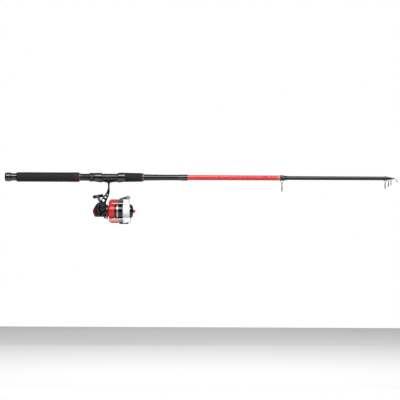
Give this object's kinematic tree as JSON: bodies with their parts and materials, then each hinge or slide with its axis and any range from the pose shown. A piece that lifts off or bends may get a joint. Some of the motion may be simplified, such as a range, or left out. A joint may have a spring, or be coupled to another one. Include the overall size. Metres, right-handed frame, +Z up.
{
  "type": "fishing rod and reel",
  "caption": "Telescopic fishing rod, part extended, with foam grips, ring guides and a front-drag spinning reel hung under its seat.",
  "frame": {"origin": "centre of the butt cap's flat end face, on the rod's axis", "axes": "+X along the rod from butt to tip, +Z up, the reel hangs towards -Z, the crank is on the +Y side"},
  "size_m": [1.2965, 0.0939, 0.1698],
  "materials": {
    "gloss_black": "glossy clear-coated black glass-fibre blank",
    "black_moulding": "satin to gloss black moulded nylon",
    "foam_grip": "matt black closed-cell foam, fine pores",
    "red_blank": "glossy clear-coated red glass-fibre blank",
    "red_trim": "anodised dark red",
    "red_paint": "glossy red enamel",
    "dark_red_paint": "glossy dark red enamel",
    "silver_trim": "bright silver plating",
    "graphite_metal": "dark graphite metallic paint",
    "steel": "plain machined steel",
    "brass_gear": "machined brass",
    "zinc_gear": "die-cast zinc alloy",
    "crank_metal": "satin grey die-cast alloy",
    "knob_rubber": "soft black rubber",
    "ceramic": "polished dark ceramic",
    "white_line": "clear nylon line wound closely",
    "spool_metal": "glossy black anodised alloy",
    "felt": "greased felt and steel washers"
  },
  "bodies": {
    "root": {"butt_collar": "gloss_black", "butt_blank": "gloss_black", "butt_end_ferrule": "gloss_black", "rear_grip": "foam_grip", "grip_trim_rings": "red_trim", "fore_grip": "foam_grip", "reel_seat_barrel": "black_moulding", "fixed_hood": "black_moulding", "reel_housing": "black_moulding", "side_cover": "black_moulding", "rear_cap": "dark_red_paint", "body_screws": "steel", "side_trim": "silver_trim", "front_flange": "dark_red_paint", "ball_bearings": "steel", "one_way_clutch": "steel", "bearing_cap": "graphite_metal"},
    "butt_cap": {"butt_cap": "gloss_black"},
    "sliding_hood": {"sliding_hood": "black_moulding"},
    "seat_nut": {"seat_nut": "black_moulding"},
    "section_2": {"blank_2": "red_blank", "guide_2_collar": "gloss_black", "guide_2_frame": "silver_trim", "guide_2_ring": "ceramic"},
    "section_3": {"blank_3": "gloss_black", "guide_3_collar": "gloss_black", "guide_3_frame": "silver_trim", "guide_3_ring": "ceramic"},
    "section_4": {"blank_4": "gloss_black", "guide_4_frame": "graphite_metal", "guide_4_ring": "ceramic"},
    "section_5": {"blank_5": "gloss_black", "guide_5_frame": "graphite_metal"},
    "tip_section": {"blank_tip": "gloss_black", "tip_top_frame": "graphite_metal", "tip_top_ring": "silver_trim"},
    "crank": {"drive_gear": "zinc_gear", "handle_arm": "crank_metal", "handle_hub_cap": "graphite_metal"},
    "handle_knob": {"handle_knob": "knob_rubber"},
    "oscillation_gear": {"oscillation_gear": "zinc_gear"},
    "main_shaft": {"main_shaft": "steel", "oscillation_slider": "brass_gear"},
    "rotor": {"rotor": "red_paint", "rotor_nut": "brass_gear", "pinion_gear": "brass_gear", "rotor_arm_covers": "dark_red_paint", "bail_spring": "steel"},
    "bail": {"bail_arm": "graphite_metal", "bail_wire": "steel", "bail_lever": "graphite_metal", "roller_screw": "silver_trim"},
    "line_roller": {"line_roller": "steel"},
    "spool": {"spool": "spool_metal", "spool_band": "silver_trim", "line_winding": "white_line", "drag_washers": "felt"},
    "drag_knob": {"drag_knob": "black_moulding", "drag_knob_grip": "red_paint"},
    "anti_reverse_lever": {"anti_reverse_lever": "black_moulding"}
  },
  "joints": [
    {"name": "butt_cap_pull", "type": "slide", "parent": "root", "child": "butt_cap", "axis": [-1, 0, 0], "range_m": [0, 0.025]},
    {"name": "sliding_hood_slide", "type": "slide", "parent": "root", "child": "sliding_hood", "axis": [1, 0, 0], "range_m": [-0.0201, 0.0001]},
    {"name": "seat_nut_turn", "type": "hinge", "parent": "sliding_hood", "child": "seat_nut", "pos_m": [0.2873, 0, 0], "axis": [1, 0, 0], "range_deg": [-3600, 0]},
    {"name": "section_2_slide", "type": "slide", "parent": "root", "child": "section_2", "axis": [1, 0, 0], "range_m": [-0.304, 0.195]},
    {"name": "section_3_slide", "type": "slide", "parent": "section_2", "child": "section_3", "axis": [1, 0, 0], "range_m": [-0.318, 0.15]},
    {"name": "section_4_slide", "type": "slide", "parent": "section_3", "child": "section_4", "axis": [1, 0, 0], "range_m": [0, 0.46]},
    {"name": "section_5_slide", "type": "slide", "parent": "section_4", "child": "section_5", "axis": [1, 0, 0], "range_m": [0, 0.465]},
    {"name": "tip_section_slide", "type": "slide", "parent": "section_5", "child": "tip_section", "axis": [1, 0, 0], "range_m": [0, 0.46]},
    {"name": "crank_turn", "type": "hinge", "parent": "root", "child": "crank", "pos_m": [0.324, 0, -0.1], "axis": [0, 1, 0], "continuous": true},
    {"name": "handle_knob_spin", "type": "hinge", "parent": "crank", "child": "handle_knob", "pos_m": [0.30364, 0.055, -0.06327], "axis": [0, 1, 0], "continuous": true},
    {"name": "oscillation_gear_turn", "type": "hinge", "parent": "root", "child": "oscillation_gear", "pos_m": [0.30753, 0, -0.10821], "axis": [0, 1, 0], "continuous": true},
    {"name": "rotor_spin", "type": "hinge", "parent": "root", "child": "rotor", "pos_m": [0.345, 0, -0.1116], "axis": [1, 0, 0], "continuous": true},
    {"name": "main_shaft_stroke", "type": "slide", "parent": "root", "child": "main_shaft", "axis": [1, 0, 0], "range_m": [-0.001, 0.011]},
    {"name": "spool_slip", "type": "hinge", "parent": "main_shaft", "child": "spool", "pos_m": [0.39, 0, -0.1116], "axis": [1, 0, 0], "continuous": true},
    {"name": "drag_knob_turn", "type": "hinge", "parent": "main_shaft", "child": "drag_knob", "pos_m": [0.42, 0, -0.1116], "axis": [1, 0, 0], "range_deg": [0, 1080]},
    {"name": "bail_swing", "type": "hinge", "parent": "rotor", "child": "bail", "pos_m": [0.384, 0, -0.1116], "axis": [0, 0, -1], "range_deg": [0, 112]},
    {"name": "line_roller_spin", "type": "hinge", "parent": "bail", "child": "line_roller", "pos_m": [0.407, 0, -0.0669], "axis": [0, 1, 0], "continuous": true},
    {"name": "anti_reverse_swing", "type": "hinge", "parent": "root", "child": "anti_reverse_lever", "pos_m": [0.33, 0, -0.1316], "axis": [0, 0, 1], "range_deg": [-20, 20]}
  ],
  "couplings": [
    {"joint": "sliding_hood_slide", "follows": "seat_nut_turn", "m_per_rad": 0.00031831},
    {"joint": "rotor_spin", "follows": "crank_turn", "ratio": -5.2222},
    {"joint": "oscillation_gear_turn", "follows": "crank_turn", "ratio": -0.64286}
  ]
}
